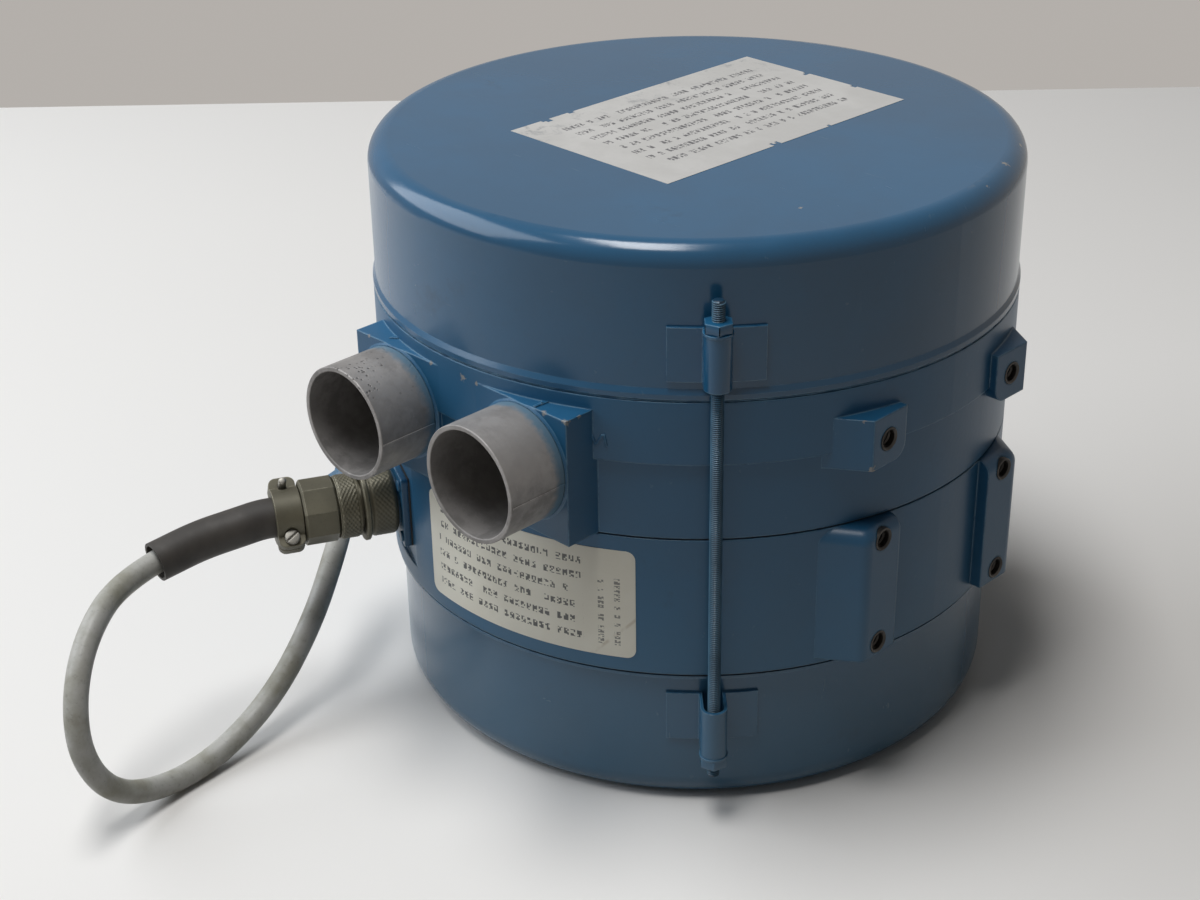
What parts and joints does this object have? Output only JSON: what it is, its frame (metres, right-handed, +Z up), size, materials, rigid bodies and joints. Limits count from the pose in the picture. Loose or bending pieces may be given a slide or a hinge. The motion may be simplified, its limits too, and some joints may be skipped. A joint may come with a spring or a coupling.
{
  "type": "industrial blower",
  "caption": "Round canister regenerative blower with side-by-side inlet and outlet tubes, tie-rod clamped covers, mounting bosses and a plugged cable loop.",
  "frame": {"origin": "centre of the underside of the bottom cover", "axes": "+Z up along the rotor axis; -Y the way both port tubes point; +X out of the threaded mounting bosses"},
  "size_m": [0.2616, 0.4027, 0.231],
  "materials": {
    "black_plastic": "moulded insulator",
    "black_seal": "matt rubber",
    "blue_paint": "semi-gloss enamel over castings and sheet",
    "boot_rubber": "dull dark rubber",
    "brass_cage": "plain brass",
    "cable_jacket": "light grey cable jacket",
    "cast_aluminium": "machined casting",
    "clamp_steel": "dull plated screws",
    "foam": "open-cell foam",
    "laminations": "varnished laminations",
    "olive_plating": "olive drab plating",
    "port_aluminium": "grey weathered tube",
    "rotor_aluminium": "die cast",
    "steel": "ground steel",
    "winding_copper": "enamelled copper wire, varnished"
  },
  "bodies": {
    "housing": {"acoustic_liner": "foam", "backshell": "olive_plating", "bearing_outer_rings": "steel", "bearing_retainer": "steel", "blower_housing": "blue_paint", "bottom_cover": "blue_paint", "bottom_gasket": "black_seal", "cable": "cable_jacket", "cable_sleeve": "boot_rubber", "channel_cover": "cast_aluminium", "channel_cover_screws": "steel", "clamp_base": "olive_plating", "clamp_saddle": "olive_plating", "clamp_screws": "clamp_steel", "end_bell_screws": "steel", "gland_body": "blue_paint", "gland_nut": "blue_paint", "inlet_tube": "port_aluminium", "joint_gasket": "black_seal", "lower_brackets": "blue_paint", "motor_end_bell": "cast_aluminium", "motor_housing": "blue_paint", "outlet_tube": "port_aluminium", "plug_insert": "black_plastic", "plug_shell": "olive_plating", "receptacle_gasket": "black_seal", "receptacle_insert": "black_plastic", "receptacle_pins": "brass_cage", "receptacle_screws": "blue_paint", "receptacle_shell": "blue_paint", "retainer_screws": "steel", "rod_nuts": "blue_paint", "rod_washers": "blue_paint", "shaft_seal": "black_seal", "stator_core": "laminations", "stator_windings": "winding_copper", "thermal_protector": "black_plastic", "threaded_inserts": "steel", "tie_rods": "blue_paint", "top_cover": "blue_paint", "top_gasket": "black_seal", "upper_brackets": "blue_paint"},
    "rotor": {"motor_shaft": "steel", "rotor_core": "laminations", "rotor_cage": "rotor_aluminium", "impeller": "cast_aluminium", "impeller_key": "steel", "impeller_washer": "steel", "impeller_nut": "steel", "bearing_inner_rings": "steel"},
    "bearing_cage_set": {"bearing_balls": "steel", "bearing_cages": "brass_cage"},
    "coupling": {"coupling_nut": "olive_plating"}
  },
  "joints": [
    {"name": "rotor_spin", "type": "hinge", "parent": "housing", "child": "rotor", "pos_m": [0, 0, 0.1], "axis": [0, 0, 1], "continuous": true},
    {"name": "cage_spin", "type": "hinge", "parent": "housing", "child": "bearing_cage_set", "pos_m": [0, 0, 0.1], "axis": [0, 0, 1], "continuous": true},
    {"name": "coupling_turn", "type": "hinge", "parent": "housing", "child": "coupling", "pos_m": [-0.06192, -0.11996, 0.0893], "axis": [-0.4587, -0.8886, 0], "continuous": true}
  ],
  "couplings": [
    {"joint": "cage_spin", "follows": "rotor_spin", "ratio": 0.3836}
  ]
}
